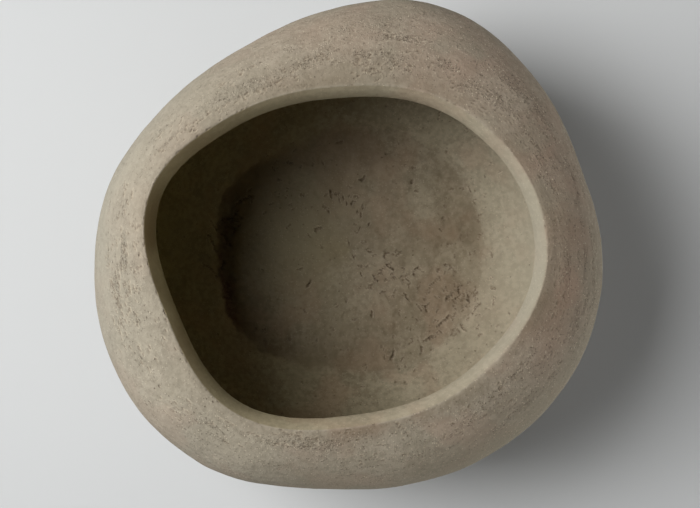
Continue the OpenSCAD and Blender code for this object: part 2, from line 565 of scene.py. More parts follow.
def press(row, column, length, width, depth, degrees=0, lip=0.25, ring=False, stained=STAIN):
    """Presses a mark of a length and width, turned by degrees from round the shell."""
    row = min(max(row, 0), len(net) - 1)
    column %= COLUMNS
    centre = net[row, column]
    out = out_way[row, column]
    angle = math.radians(degrees)
    lengthways = round_way[row, column] * math.cos(angle)
    lengthways = lengthways + along_way[row, column] * math.sin(angle)
    across = np.cross(out, lengthways)
    found = tree_of_points.find_range(centre, max(length, width) * TOUCH_SHARE + TOUCH_MARGIN)
    index = np.array([i for _, i, _ in found], dtype=int)
    offset = flat_net[index] - centre
    far_along = offset @ lengthways / (length / 2)
    far_across = offset @ across / (width / 2)
    ragged = np.array([noise.noise(flat_net[i] / RAGGED_SIZE) for i in index])
    reach = np.hypot(far_along, far_across) * (1 + RAGGED * ragged)
    same_face = np.clip(flat_out[index] @ out, 0, 1) ** 2
    if ring:
        hollow = np.exp(-(((reach - RING_AT) / RING_WIDTH) ** 2))
    else:
        hollow = np.clip(1 - reach**2, 0, None) ** HOLLOW_POWER
    one_side = 0.5 + 0.5 * np.tanh(2 * far_across)
    raised = np.exp(-(((reach - LIP_AT) / LIP_WIDTH) ** 2)) * one_side
    marks[index] += same_face * depth * (lip * raised - hollow)
    stain = stained * np.exp(-((reach / STAIN_REACH) ** 2))
    # The hollow is darkened as dust and painted shade
    dark = np.maximum(stain, np.clip(hollow * HOLLOW_DARK, 0, 1))
    torn[index] = np.maximum(torn[index], same_face * dark)
    # The raised lip is paled as grit and painted highlight
    lips[index] = np.maximum(lips[index], same_face * raised * min(1, 2 * lip))


# %% [markdown]
# The strings on the shoulder are listed one by one, as the photograph shows them: from the
# left over the top and the right to the bottom. Each has a start and an end direction,
# the ring it lies on (12 is the widest place, 23 the mouth), how far it strays from that
# ring, and how many pits it has. The counts were judged, and four fifths of them look
# right once the fine pits of the finish are added. The belly, which the photograph
# doesn't show, has strings at random places.

# %% Strings of pits on the shoulder, listed one by one
SHOULDER_STRINGS = (
    # from and to in degrees, ring, spread in rings, pits
    # left
    (163, 169, 19.6, 0.3, 8), (166, 174, 20.2, 0.3, 12), (173, 180, 22.1, 0.2, 12),
    (176, 181, 20.6, 0.4, 12), (180, 186, 18.3, 0.2, 8), (179, 187, 20.6, 1.1, 28),
    (186, 193, 19.3, 0.4, 24), (188, 192, 20.4, 0.3, 8), (185, 191, 21.4, 0.2, 9),
    (190, 198, 19.6, 0.5, 26), (195, 203, 20.3, 0.3, 12), (197, 205, 18.8, 0.3, 12),
    (201, 209, 22.5, 0.3, 9), (205, 212, 20.1, 0.5, 12),
    # top left
    (109, 133, 22.0, 0.3, 50), (119, 128, 19.7, 0.25, 16), (136, 146, 22.0, 0.3, 20),
    (144, 153, 21.6, 0.3, 12), (142, 150, 20.2, 0.4, 8),
    # top
    (99, 107, 21.1, 0.3, 18), (94, 99, 20.9, 0.3, 10), (90, 97, 18.9, 0.5, 8),
    (84, 90, 21.4, 0.3, 16), (81, 87, 22.3, 0.3, 18), (74, 82, 21.8, 0.3, 12),
    (72, 81, 19.6, 0.7, 44), (69, 74, 19.7, 0.3, 8), (61, 67, 21.1, 0.3, 16),
    # top right
    (50, 60, 22.0, 0.4, 22), (38, 52, 20.6, 0.9, 40), (36, 50, 19.2, 0.8, 28),
    (33, 43, 18.4, 0.8, 18), (44, 52, 17.2, 0.5, 12), (29, 34, 18.7, 0.3, 16),
    (27, 36, 21.1, 0.4, 26), (16, 24, 18.0, 0.4, 18), (18, 24, 21.5, 0.3, 10),
    (12, 18, 21.4, 0.2, 8),
    # right
    (6, 13, 21.8, 0.3, 12), (-5, 5, 21.7, 0.3, 22), (-13, -3, 17.8, 0.3, 30),
    (-3, 6, 17.4, 0.4, 8), (-14, -8, 21.2, 0.4, 14), (-18, -12, 20.9, 0.3, 10),
    (-16, -9, 18.6, 0.3, 10), (-27, -21, 19.3, 0.3, 12), (-31, -26, 18.4, 0.3, 10),
    # bottom right
    (-39, -30, 21.4, 0.2, 24), (-43, -34, 18.6, 0.6, 10), (-49, -41, 18.4, 0.7, 10),
    (-54, -49, 21.6, 0.3, 9), (-61, -56, 20.5, 0.5, 14), (-71, -63, 22.4, 0.3, 14),
    (-73, -69, 19.5, 0.4, 7),
    # bottom
    (-81, -78, 20.3, 0.5, 8), (-89, -82, 22.7, 0.3, 18), (-86, -82, 20.1, 0.4, 9),
    (-92, -88, 19.6, 0.8, 12), (-106, -97, 21.8, 0.2, 16), (-103, -98, 22.3, 0.2, 16),
    (-108, -103, 22.6, 0.3, 16), (-116, -106, 22.1, 0.3, 18), (-130, -118, 21.2, 0.6, 16),
    (-140, -134, 20.4, 0.9, 14),
)
print("strings on the shoulder:", len(SHOULDER_STRINGS))

# %% Press the strings of pits
PITS_PRESSED = 0.8
# Ranges in millimetres; a drag is a pit that was pulled out long
PIT_LENGTH, PIT_WIDTH, PIT_DEPTH = (3.4, 6.5), (2.8, 3.9), (0.3, 0.85)
DRAG_LENGTH = (7, 12)
DRAG_CHANCE = 0.2
PIT_TURN = 14
STRING_LIP = 0.4
STRING_STAIN = 0.10
# How many strings the belly has, and ranges for their span, their ring and their pits
BELLY_STRINGS = 26
BELLY_SPAN, BELLY_RINGS, BELLY_PITS = (12, 36), (5, 15), (8, 20)
BELLY_SPREAD = 0.3


def string_of_pits(start, end, ring, spread, count):
    """Pits scattered about a ring from start to end, some of them long drags."""
    for _ in range(round(PITS_PRESSED * count)):
        degrees = start + (end - start) * rng.uniform(-0.15, 1.15)
        row = row_at(ring + rng.normal(0, 1.3 * spread))
        length, width = rng.uniform(*PIT_LENGTH), rng.uniform(*PIT_WIDTH)
        if rng.random() < DRAG_CHANCE:
            length = rng.uniform(*DRAG_LENGTH)
        depth = rng.uniform(*PIT_DEPTH)
        turned = rng.normal(0, PIT_TURN)
        size = (length * MM, width * MM, depth * MM)
        press(row, column_at(degrees), *size, turned, lip=STRING_LIP, stained=STRING_STAIN)


for string in SHOULDER_STRINGS:
    string_of_pits(*string)
for _ in range(BELLY_STRINGS):
    start = rng.uniform(0, 360)
    end = start + rng.uniform(*BELLY_SPAN)
    string_of_pits(start, end, rng.uniform(*BELLY_RINGS), BELLY_SPREAD, rng.integers(*BELLY_PITS))
print("pits pressed outside:", int((torn > 0.5).sum()), "points of the net")

# %% [markdown]
# Inside, the marks that the eye finds first are listed one by one too, in millimetres to
# the right of and above the middle of the base as seen from above. The rest are scattered
# round a few given middles, and singly over the wall and the floor.

# %% Tears and pits inside, listed one by one
TEARS = (
    # right, up, length, degrees on the floor plan, bend
    (55, -15, 12, 75, 0.5), (60, -35, 16, -60, 0.9), (50, -70, 9, 20, 0.4),
    (35, -105, 9, 80, 0.3), (100, -40, 14, 80, -0.6), (135, -40, 6, 0, 0.0),
    (90, -75, 12, -30, 0.8), (150, -80, 14, 50, 0.7), (170, -70, 16, -55, -0.5),
    (180, -80, 10, 60, 0.3), (190, -75, 9, 20, 0.5), (215, -65, 6, 0, 0.0),
    (145, -115, 24, 42, 0.4), (120, -140, 20, 38, -0.4), (170, -122, 14, -65, 0.2),
    (110, -160, 12, 40, 0.3), (70, -170, 18, 30, -0.5), (190, -95, 20, 55, 0.3),
    (-25, 80, 11, -75, 0.4), (5, 65, 9, 60, -0.5), (-50, 25, 9, 45, 0.6),
    (-90, 125, 8, 0, 0.3), (-15, 155, 9, 20, 0.4), (40, -50, 13, -80, 1.1),
    (75, -15, 8, 10, 0.6), (118, -95, 9, 70, 0.8), (20, 100, 12, 15, 0.5),
    (-60, -60, 14, 40, 0.4), (95, 95, 10, 85, 0.3), (-176, 46, 14, 75, 0.7),
    (-184, 10, 20, 88, 0.3), (-164, 68, 12, 40, -0.5), (-150, 82, 10, 25, 0.4),
    (-168, 30, 8, 20, 0.6), (-190, -30, 16, 85, -0.3), (-178, 0, 7, 60, 0.5),
    (-170, 52, 7, -20, 0.8), (-198, -36, 32, 90, 0.1), (-198, 2, 30, 87, -0.2),
    (-194, 28, 20, 70, -0.3), (-184, 46, 26, 52, -0.3), (-163, 66, 26, 40, -0.4),
    (-146, 77, 16, 20, -0.3), (-172, 20, 9, 75, 0.8), (-166, 40, 10, 60, -0.7),
    (-176, 36, 10, 85, 0.4),
)
# Where a flake of grit lies in a ring-shaped groove: right, up, length, width, depth, degrees
FLAKE = (160, -130, 15, 11, 0.6, 60)
# A tear is a row of short marks. Their step and the range of their width are in
# millimetres; a mark is longer than a step, the marks at the ends are narrower, and the
# tear wanders a little
TEAR_STEP = 3.0
TEAR_WIDTH = (2.7, 4.0)
STEPS_LONG = 1.7
TEAR_END = 0.8
TEAR_WANDER = 0.25
TEAR_LIP = 0.5

inside_from = row_at(last_ring["upper inner wall"])
inside_tree = kdtree.KDTree((len(net) - inside_from) * COLUMNS)
for i in range(inside_from * COLUMNS, len(flat_net)):
    inside_tree.insert((flat_net[i][0], flat_net[i][1], 0), i)
inside_tree.balance()


def press_inside(right, up, length, width, depth, degrees, **more):
    """Presses a mark at a place on the floor plan, given in millimetres."""
    _, index, _ = inside_tree.find((right * MM, up * MM, 0))
    row, column = divmod(index, COLUMNS)
    around = math.degrees(math.atan2(round_way[row, column, 1], round_way[row, column, 0]))
    press(row, column, length * MM, width * MM, depth * MM, around - degrees, **more)


def press_tear(right, up, length, degrees, bend, depth=3.0, wide=1.55):
    """A thin crooked tear: short marks end to end, turning by bend over its length."""
    count = max(2, round(length / TEAR_STEP))
    way = math.radians(degrees) - bend / 2
    x = right - length / 2 * math.cos(math.radians(degrees))
    y = up - length / 2 * math.sin(math.radians(degrees))
    for k in range(count):
        way += bend / count + rng.normal(0, TEAR_WANDER)
        x += TEAR_STEP * math.cos(way)
        y += TEAR_STEP * math.sin(way)
        width = wide * rng.uniform(*TEAR_WIDTH) * (1 if 0 < k < count - 1 else TEAR_END)
        deep = depth * rng.uniform(0.5, 1.1)
        press_inside(x, y, TEAR_STEP * STEPS_LONG, width, deep, math.degrees(way), lip=TEAR_LIP)


for tear in TEARS:
    press_tear(*tear)
press_inside(*FLAKE, ring=True)
print("tears placed by hand:", len(TEARS))

# %% Tears and pits inside, scattered
CLUSTERS = (
    # right, up, spread, marks
    (60, -40, 16, 18), (95, -75, 22, 16), (165, -72, 20, 34), (185, -105, 20, 18),
    (50, -165, 26, 12), (-90, 125, 20, 12), (-10, 70, 20, 12), (20, 10, 40, 14),
    (150, 60, 34, 12), (130, 150, 40, 12), (-95, 40, 34, 12), (-40, -80, 50, 12),
    (190, 20, 26, 10), (110, -150, 22, 12),
)
# Lengths in millimetres of the tears in a cluster, and how often each occurs
CLUSTER_LENGTHS, CLUSTER_SHARES = (3.0, 5.0, 8.0), (0.45, 0.35, 0.2)
CLUSTER_DEPTH = (1.0, 2.2)
CLUSTER_WIDE = 1.1
CLUSTER_BEND = 0.8
# How many single pits there are, how far from the middle they reach, and their ranges
SINGLES = 56
SINGLES_REACH = 250
SINGLE_SIZE, SINGLE_DEPTH = (2.8, 4), (0.35, 0.8)

for right, up, spread, count in CLUSTERS:
    for _ in range(count):
        x, y = rng.normal((right, up), spread)
        length = rng.choice(CLUSTER_LENGTHS, p=CLUSTER_SHARES)
        degrees, bend = rng.uniform(0, 180), rng.normal(0, CLUSTER_BEND)
        press_tear(x, y, length, degrees, bend, rng.uniform(*CLUSTER_DEPTH), CLUSTER_WIDE)
for _ in range(SINGLES):
    reach, way = SINGLES_REACH * math.sqrt(rng.random()), rng.uniform(0, 2 * math.pi)
    size = rng.uniform(*SINGLE_SIZE)
    depth = rng.uniform(*SINGLE_DEPTH)
    press_inside(reach * math.cos(way), reach * math.sin(way), size, size, depth, 0)
print("tears in clusters:", sum(cluster[-1] for cluster in CLUSTERS), "and single pits:", SINGLES)

# %% [markdown]
# The cut through the wall was made with a wire, so it is smooth, but its edges have lost a
# crumb here and there, where a grain sat right on them. Most are lost on the left half,
# and more along the outer edge than along the inner one.

# %% Crumbs lost along the edges of the mouth
EDGE_CRUMBS = 46
# Two rings on the outer edge and one on the inner, and the share of the crumbs on each
CRUMB_RINGS, CRUMB_SHARES = (24.5, 24.8, 28.6), (0.5, 0.2, 0.3)
# The middle direction and the spread in degrees, then ranges in millimetres
CRUMB_SIDE, CRUMB_SPREAD = 160, 55
CRUMB_LENGTH, CRUMB_WIDTH, CRUMB_DEPTH = (2.5, 8), (2.6, 4.2), (0.3, 1.0)

for _ in range(EDGE_CRUMBS):
    ring = rng.choice(CRUMB_RINGS, p=CRUMB_SHARES)
    column = column_at(rng.normal(CRUMB_SIDE, CRUMB_SPREAD))
    length, width = rng.uniform(*CRUMB_LENGTH) * MM, rng.uniform(*CRUMB_WIDTH) * MM
    press(row_at(ring), column, length, width, rng.uniform(*CRUMB_DEPTH) * MM, lip=0)
print("crumbs lost along the edges:", EDGE_CRUMBS)

# %% [markdown]
# Now every push and every mark is known, so the net is moved along its outward directions
# and becomes a mesh. Each four neighbours make a face, and a fan of triangles closes the
# net at the middle of the base and another at the middle of the floor.

# %% Build the shell's mesh
# However many marks meet, none goes deeper or stands higher than this
DEEPEST_MARK, HIGHEST_LIP = 3.2 * MM, 0.9 * MM

push += np.clip(marks.reshape(push.shape), -DEEPEST_MARK, HIGHEST_LIP)
skin = net + out_way * push[..., None]
vertices = np.concatenate([skin.reshape(-1, 3), [base_middle, floor_middle]])

rows = len(net)
first = np.arange(COLUMNS)
second = (first + 1) % COLUMNS
starts = np.arange(rows - 1)[:, None] * COLUMNS
corner, next_corner = starts + first, starts + second
quads = np.stack([corner, next_corner, next_corner + COLUMNS, corner + COLUMNS], axis=-1)
base_pole, floor_pole = rows * COLUMNS, rows * COLUMNS + 1
top = (rows - 1) * COLUMNS
faces = [(base_pole, int(b), int(a)) for a, b in zip(first, second)]
faces += quads.reshape(-1, 4).tolist()
faces += [(floor_pole, int(top + a), int(top + b)) for a, b in zip(first, second)]

mesh = bpy.data.meshes.new("clay_shell")
mesh.from_pydata(vertices.tolist(), [], faces)
mesh.shade_smooth()
shell = put_in_scene("clay_shell", mesh)
print("clay shell:", len(mesh.vertices), "points and", len(mesh.polygons), "faces")

# %% [markdown]
# The finishes need to know where they are on the wall, so the net's knowledge goes onto
# the mesh as attributes: the place along and round the wall, how torn it is and where
# lips stand up, where the skin is coarse or smooth, where painted shade lies in the corner
# of the hollow, where painted shade and wet-looking blotches darken the clay, where
# painted light pales it, where it fired rosy or olive, and where the shade gets a
# yellow-brown tint. The zones are placed as the photograph shows them. A ring of painted
# shade lies on the shoulder beside the mouth, weaker on the left. Between the coarse zones
# the shoulder is smoother, and the belly below its widest place is coarse again.

# %% Where each zone lies
# Zones: direction in degrees, ring, reach in degrees, reach in rings, strength
COARSE_ZONES = (
    (184, 19.6, 20, 2.0, 0.35), (128, 21.2, 24, 2.0, 0.60), (78, 20.4, 14, 2.0, 0.45),
    (45, 19.6, 13, 2.4, 1.00), (28, 20.0, 9, 1.6, 0.60), (50, 17.2, 7, 1.2, 0.70),
    (-2, 20.0, 24, 3.4, 0.80), (-45, 19.5, 18, 2.6, 0.45), (-95, 21.8, 20, 1.4, 0.50),
)
# Painted shade with wet-looking blotches: on the shoulder, most by the mouth, on the cut on the
# shaded left, and on the inner walls
SHADE_AND_DAMP_ZONES = (
    (0, 21.6, 40, 2.6, 0.9), (90, 21.8, 40, 2.0, 0.6), (-70, 22.2, 36, 1.6, 0.6),
    (180, 26.5, 50, 1.8, 2.2), (-35, 48.2, 22, 2.4, 0.4), (-90, 46.0, 30, 3.0, 0.4),
    (-66, 19.5, 42, 4.0, 0.60), (95, 19.5, 26, 4.0, 0.35), (132, 20.0, 24, 4.0, 0.30),
    (180, 42.0, 60, 9.0, 0.7),
)
OLIVE_ZONES = (
    (-48, 14.5, 46, 4.5, 0.9), (-95, 16.0, 30, 5.0, 0.5), (12, 12.5, 40, 2.5, 0.6),
)
# Painted light: paler, greyer clay on faces the lamp lights full, the left shoulder, the right of
# the cut and the right inner wall
LIT_ZONES = (
    (176, 15.0, 48, 6.0, 1.0), (228, 16.0, 30, 5.0, 0.5), (0, 26.5, 42, 1.8, 1.0),
    (0, 44.0, 45, 5.0, 0.9),
)
ROSY_ZONES = (
    (88, 17.5, 24, 4.0, 0.6), (58, 19.0, 22, 4.5, 0.8), (20, 20.5, 30, 4.0, 0.9),
    (-12, 20.5, 22, 3.5, 1.0),
)
SMOOTH_ZONES = ((165, 20.0, 62, 12.0, 0.75), (0, 44.0, 60, 5.5, 0.9))
# A yellow-brown tint on the painted shade over the left of the hollow
SHADE_TINT_ZONES = ((180, 38.0, 75, 13.0, 0.9),)
# Spots on the floor: right, up and reach in millimetres, strength. In the first table a
# spot above 0 darkens the floor as painted shade and blotches, and one below 0 is painted
# light
SHADE_AND_DAMP_SPOTS = (
    (158, -5, 44, 0.55), (-13, -205, 46, 0.30), (0, 69, 46, 0.25), (151, -150, 46, 0.30),
    (-100, 10, 90, -0.50),
)
ROSY_SPOTS = ((185, -85, 45, 0.38), (60, -60, 60, 0.22))
OLIVE_SPOTS = ((-80, 30, 110, 0.9),)
# How coarse the skin is along a string of pits, everywhere, on the belly and inside
STRING_COARSE, COARSE_ANYWHERE, BELLY_COARSE, INSIDE_COARSE = 0.60, 0.26, 0.34, 0.25
# How many rings a string's coarse zone is wider than its pits, and how many pits make it
# fully coarse
STRING_MARGIN, FULL_STRING = 0.35, 14
# Painted shade in the groove of the corner, darkest on the shaded left: where it is most
# and how narrow that stretch is, how much lies elsewhere, its ring, and its reach up the
# wall and on to the floor
CREASE_SHADE_SIDE, CREASE_SHADE_FOCUS = math.radians(191), 3.5
CREASE_SHADE_ELSEWHERE = 0.06
CREASE_SHADE_RING = GROOVE_RING - 0.3
CREASE_SHADE_ON_WALL, CREASE_SHADE_ON_FLOOR = 3 * MM, 21 * MM
# The ring of painted shade beside the mouth: its strength, and its reach on the shoulder
# and the cut
MOUTH_SHADE = 0.7
SHADE_ON_SHOULDER, SHADE_ON_CUT = 16 * MM, 4 * MM


# %% Work out the zones on the net
def zones(table):
    """The strongest of soft spots, each given by direction, ring and reach."""
    field = np.zeros(net.shape[:2])
    for direction, ring, reach, ring_reach, strength in table:
        away = (angle_of - math.radians(direction) + math.pi) % (2 * math.pi) - math.pi
        spot = np.exp(-((away / math.radians(reach)) ** 2))[None, :]
        spot = spot * np.exp(-(((station - ring) / ring_reach) ** 2))[:, None]
        field = np.maximum(field, strength * spot)
    return field


def floor_spots(table):
    """The sum of soft round spots inside, given by place on the floor plan."""
    field = np.zeros(net.shape[:2])
    for right, up, reach, strength in table:
        off = np.hypot(net[..., 0] - right * MM, net[..., 1] - up * MM) / (reach * MM)
        field += strength * np.exp(-(off**2))
    return field * (station > last_ring["under the shoulder"])[:, None]


string_zones = [
    (
        (start + end) / 2, ring, (end - start) / 2, spread + STRING_MARGIN,
        min(1, count / FULL_STRING),
    )
    for start, end, ring, spread, count in SHOULDER_STRINGS
]
outside = (station < CUT_BEGINS)[:, None]
belly = (1 - soft_step(station, 9, 13))[:, None]
coarse_patches = patches(0.7, 0.45, 0.05)
coarse = np.maximum(zones(COARSE_ZONES) * coarse_patches, zones(string_zones) * STRING_COARSE)
coarse += COARSE_ANYWHERE + BELLY_COARSE * belly * coarse_patches
coarse = np.clip(coarse, 0, 1) * outside
coarse += (1 - outside) * INSIDE_COARSE * np.clip(coarse_patches, 0, 1)
coarse *= 1 - on_cut
rosy = zones(ROSY_ZONES) * outside + floor_spots(ROSY_SPOTS)
rosy *= patches(0.8, 0.25, 0.06)
olive = zones(OLIVE_ZONES) * outside + floor_spots(OLIVE_SPOTS)
# Painted shade in the corner of the hollow, darkest on the shaded left, in patches
dirt = around_ring(CREASE_SHADE_RING, CREASE_SHADE_ON_WALL, CREASE_SHADE_ON_FLOOR, ragged_edge)
dirt *= patches(0.85, 0.3, 0.05)
dirt *= CREASE_SHADE_ELSEWHERE + (1 - CREASE_SHADE_ELSEWHERE) * towards(CREASE_SHADE_SIDE, CREASE_SHADE_FOCUS)
# Painted shade over the whole floor of the hollow and in its zones, with wet-looking blotches
floor_shade_and_damp = soft_step(station, 49, 51)[:, None]
damp = np.maximum(floor_shade_and_damp, zones(SHADE_AND_DAMP_ZONES)) + floor_spots(SHADE_AND_DAMP_SPOTS)
# A ring of painted shade on the shoulder beside the mouth, weaker on the lit left
mouth_edge = around_ring(last_ring["shoulder"], SHADE_ON_SHOULDER, SHADE_ON_CUT)
damp += MOUTH_SHADE * mouth_edge * (1 - 0.8 * left_share)
damp *= patches(0.85, 0.25, 0.09)
print("coarse skin on the outside:", round(float(coarse[outside[:, 0]].mean()), 2), "of it")


# %% Write the zones onto the mesh
def keep(name, values, kind="FLOAT"):
    """Writes the net's values onto the mesh, with those of the two middles added."""
    flat = values.reshape(rows * COLUMNS, -1)
    flat = np.concatenate([flat, flat[:1], flat[-1:]])
    layer = mesh.attributes.new(name, kind, "POINT")
    key = "vector" if kind == "FLOAT_VECTOR" else "value"
    layer.data.foreach_set(key, np.ascontiguousarray(flat, np.float32).ravel())


fields = {
    "torn": torn, "lips": lips, "coarse": coarse, "smooth": zones(SMOOTH_ZONES), "dirt": dirt,
    "damp": damp, "pale": zones(LIT_ZONES), "rosy": rosy, "olive": olive,
    "ochre": zones(SHADE_TINT_ZONES) * (1 - outside),
}
keep("wall_place", wall_place, "FLOAT_VECTOR")
for name, field in fields.items():
    keep(name, field)
print("kept on the mesh: wall_place,", ", ".join(fields))

# %% [markdown]
# ## The finish of the clay
#
# The finish has a few layers that every part of the shell shares: clouds of lighter and
# darker clay, fine grit with pale and dark grains, small pits, short tears, and drag lines
# round the shell. Each layer is a shader node group with named inputs, built once, and each
# material mixes the layers in its own strengths. All of them are worked out from the
# place on the object, so nothing slides when the view moves.

# %% Helpers for shader groups
def new_group(name, inputs, outputs):
    """An empty shader group with its sockets; returns the tree and its two ends."""
    tree = bpy.data.node_groups.new(name, "ShaderNodeTree")
    for socket, kind in inputs:
        tree.interface.new_socket(socket, in_out="INPUT", socket_type="NodeSocket" + kind)
    for socket in outputs:
        tree.interface.new_socket(socket, in_out="OUTPUT", socket_type="NodeSocketFloat")
    begin = tree.nodes.new("NodeGroupInput")
    end = tree.nodes.new("NodeGroupOutput")
    return tree, begin.outputs, end.inputs


def vector_maths(tree, operation, first, second):
    """The result of a Vector Math node."""
    made = node(tree, "ShaderNodeVectorMath", {0: first, 1: second}, operation=operation)
    return made.outputs["Vector"]


def noise_at(tree, place, scale, detail=2.0, roughness=0.5):
    """A noise node; Fac is its value and Color its three values."""
    return node(
        tree,
        "ShaderNodeTexNoise",
        {"Vector": place, "Scale": scale, "Detail": detail, "Roughness": roughness},
    )


def centred(tree, value):
    """A value from 0 to 1 moved to lie about 0."""
    return maths(tree, "SUBTRACT", value, 0.5)


# %% Clouds of lighter and darker clay
# Name, size and detail of each; a shift by many sizes keeps them apart
CLOUDS = (("Middle", 0.036, 3.0), ("Small", 0.008, 2.0), ("Hue", 0.075, 2.0))
CLOUD_SHIFT = 31


def clay_clouds():
    """Uneven tone at two sizes, and a slower change of hue, each from 0 to 1."""
    tree, given, result = new_group(
        "clay_clouds", [("Place", "Vector")], [name for name, _, _ in CLOUDS]
    )
    for name, size, detail in CLOUDS:
        shifted = vector_maths(tree, "ADD", given["Place"], (size * CLOUD_SHIFT, 0, 0))
        field = noise_at(tree, shifted, 1 / size, detail)
        tree.links.new(softly(tree, field.outputs["Fac"], 0.3, 0.7), result[name])
    return tree


# %% Sand with pale and dark grains
# Each grain draws a chance from 0 to 1; above these ranges it is pale, or dark
PALE_CHANCE, DARK_CHANCE = (0.78, 0.86), (0.80, 0.88)
# From a grain's edge in to where it is full, as a share of Size
GRAIN_EDGE = (0.5, 0.2)
SAND_SCALE = 0.62
SAND_DETAIL, SAND_ROUGHNESS = 4.0, 0.68
PALE_STANDS_OUT = 0.25


def clay_grit():
    """Grains about Size apart: masks of the pale and the dark ones, and the sandy relief."""
    tree, given, result = new_group(
        "clay_grit", [("Place", "Vector"), ("Size", "Float")], ["Pale", "Dark", "Relief"]
    )
    place = given["Place"]
    scale = maths(tree, "DIVIDE", 1.0, given["Size"])
    cells = node(tree, "ShaderNodeTexVoronoi", {"Vector": place, "Scale": scale})
    chance = node(tree, "ShaderNodeSeparateColor", {"Color": cells.outputs["Color"]})
    grain = softly(tree, cells.outputs["Distance"], *GRAIN_EDGE)
    pale_grain = times(tree, softly(tree, chance.outputs["Red"], *PALE_CHANCE), grain)
    dark_grain = times(tree, softly(tree, chance.outputs["Green"], *DARK_CHANCE), grain)
    sand_scale = times(tree, scale, SAND_SCALE)
    sand = noise_at(tree, place, sand_scale, SAND_DETAIL, SAND_ROUGHNESS).outputs["Fac"]
    tree.links.new(pale_grain, result["Pale"])
    tree.links.new(dark_grain, result["Dark"])
    tree.links.new(plus(tree, sand, times(tree, pale_grain, PALE_STANDS_OUT)), result["Relief"])
    return tree


# %% Small pits
# How much finer than the pits the noise is that bends their outlines, and how far it does
BEND_SCALE, BEND_SHARE = 2.8, 0.7
# The smallest and largest radius as a share of Size, and the flat share of a pit's floor
PIT_RADII, PIT_FLOOR = (0.14, 0.42), 0.45


def clay_pits():
    """Ragged pits about Size apart; Amount from 0 to 1 is the share that is there."""
    tree, given, result = new_group(
        "clay_pits",
        [("Place", "Vector"), ("Size", "Float"), ("Amount", "Float")],
        ["Pit"],
    )
    scale = maths(tree, "DIVIDE", 1.0, given["Size"])
    wobble = noise_at(tree, given["Place"], times(tree, scale, BEND_SCALE), 2.0)
    bend = node(
        tree, "ShaderNodeVectorMath",
        {
            0: vector_maths(tree, "SUBTRACT", wobble.outputs["Color"], (0.5, 0.5, 0.5)),
            "Scale": times(tree, given["Size"], BEND_SHARE),
        },
        operation="SCALE",
    )
    bent = vector_maths(tree, "ADD", given["Place"], bend.outputs["Vector"])
    cells = node(tree, "ShaderNodeTexVoronoi", {"Vector": bent, "Scale": scale})
    chance = node(tree, "ShaderNodeSeparateColor", {"Color": cells.outputs["Color"]})
    there = maths(tree, "LESS_THAN", chance.outputs["Red"], given["Amount"])
    radius = softly(tree, chance.outputs["Green"], 0.0, 1.0, *PIT_RADII)
    inner = times(tree, radius, PIT_FLOOR)
    shape = softly(tree, cells.outputs["Distance"], radius, inner)
    tree.links.new(times(tree, there, shape), result["Pit"])
    return tree


# %% Drag lines and torn bands round the shell
RIB_LAYERS = (
    # name, waves in a metre in each direction, and the range of the noise that shows
    ("Lines", (22, 22, 330), 0.3, 0.7),
    ("Bands", (13, 13, 80), 0.44, 0.60),
)


def rib_marks():
    """What the rib left, from 0 to 1: thin long lines, and bands where it tore the skin."""
    tree, given, result = new_group(
        "rib_marks", [("Wall Place", "Vector")], [layer[0] for layer in RIB_LAYERS]
    )
    for name, waves, low, high in RIB_LAYERS:
        long_place = vector_maths(tree, "MULTIPLY", given["Wall Place"], waves)
        field = noise_at(tree, long_place, 1.0, 3.0, 0.55)
        tree.links.new(softly(tree, field.outputs["Fac"], low, high), result[name])
    return tree


# %% Short crooked tears
# A tear runs where one noise is near its middle value, within this much of it, and breaks
# off where another noise, taken from a shifted place, is low
TEAR_HALF_WIDTH = (0.11, 0.035)
TEAR_BREAKS = (0.50, 0.60)
TEAR_SHIFT = (0.7, 0.3, 0.5)


def clay_tears():
    """Short crooked tears about Size apart, from 0 to 1."""
    tree, given, result = new_group(
        "clay_tears", [("Place", "Vector"), ("Size", "Float")], ["Tear"]
    )
    scale = maths(tree, "DIVIDE", 1.0, given["Size"])
    field = noise_at(tree, given["Place"], scale, 2.0).outputs["Fac"]
    line = softly(tree, maths(tree, "ABSOLUTE", centred(tree, field)), *TEAR_HALF_WIDTH)
    shifted = vector_maths(tree, "ADD", given["Place"], TEAR_SHIFT)
    pieces = noise_at(tree, shifted, scale, 1.0).outputs["Fac"]
    tree.links.new(times(tree, line, softly(tree, pieces, *TEAR_BREAKS)), result["Tear"])
    return tree


layers = (clay_clouds(), clay_grit(), clay_pits(), rib_marks(), clay_tears())
groups = {made.name: made for made in layers}
print("shader groups:", ", ".join(groups))

# %% [markdown]
# The clay is a warm grey between stone and sand, rosy in some places and faintly olive in
# others. Its colours were judged where the light falls on it full. The outside is drier
# and has most open grit, the cut is smooth, and the inside is smooth with darker,
# wet-looking blotches and painted shade. One function makes all three finishes. It starts
# with a tone between a deep and a pale clay, lays the hues, the painted light and the
# specks over it, then the marks, the painted shade and its tint, and gets its relief from
# the same layers.

# %% Colours of the clay and sizes in its finish
CLAY_PALE = (0.39, 0.343, 0.266, 1)
CLAY_DEEP = (0.25, 0.216, 0.161, 1)
CLAY_ROSY = (0.355, 0.258, 0.192, 1)
CLAY_OLIVE = (0.30, 0.268, 0.20, 1)
# Painted light on faces that the lamp lights full
CLAY_LIT = (0.30, 0.285, 0.235, 1)
GRIT_PALE = (0.58, 0.50, 0.375, 1)
GRIT_DARK = (0.15, 0.12, 0.09, 1)
# Dust and painted shade in pits and tears; pale lips use the grit's colour
PIT_TONE = (0.14, 0.10, 0.068, 1)
# Painted shade in the corner of the hollow
CREASE_SHADE_TONE = (0.048, 0.012, 0.016, 1)
# Painted shade, with wet-looking blotches
SHADE_AND_DAMP_TONE = (0.142, 0.101, 0.058, 1)
# The tint of the painted shade on the left of the hollow
SHADE_TINT = (1.0, 0.97, 0.33, 1)
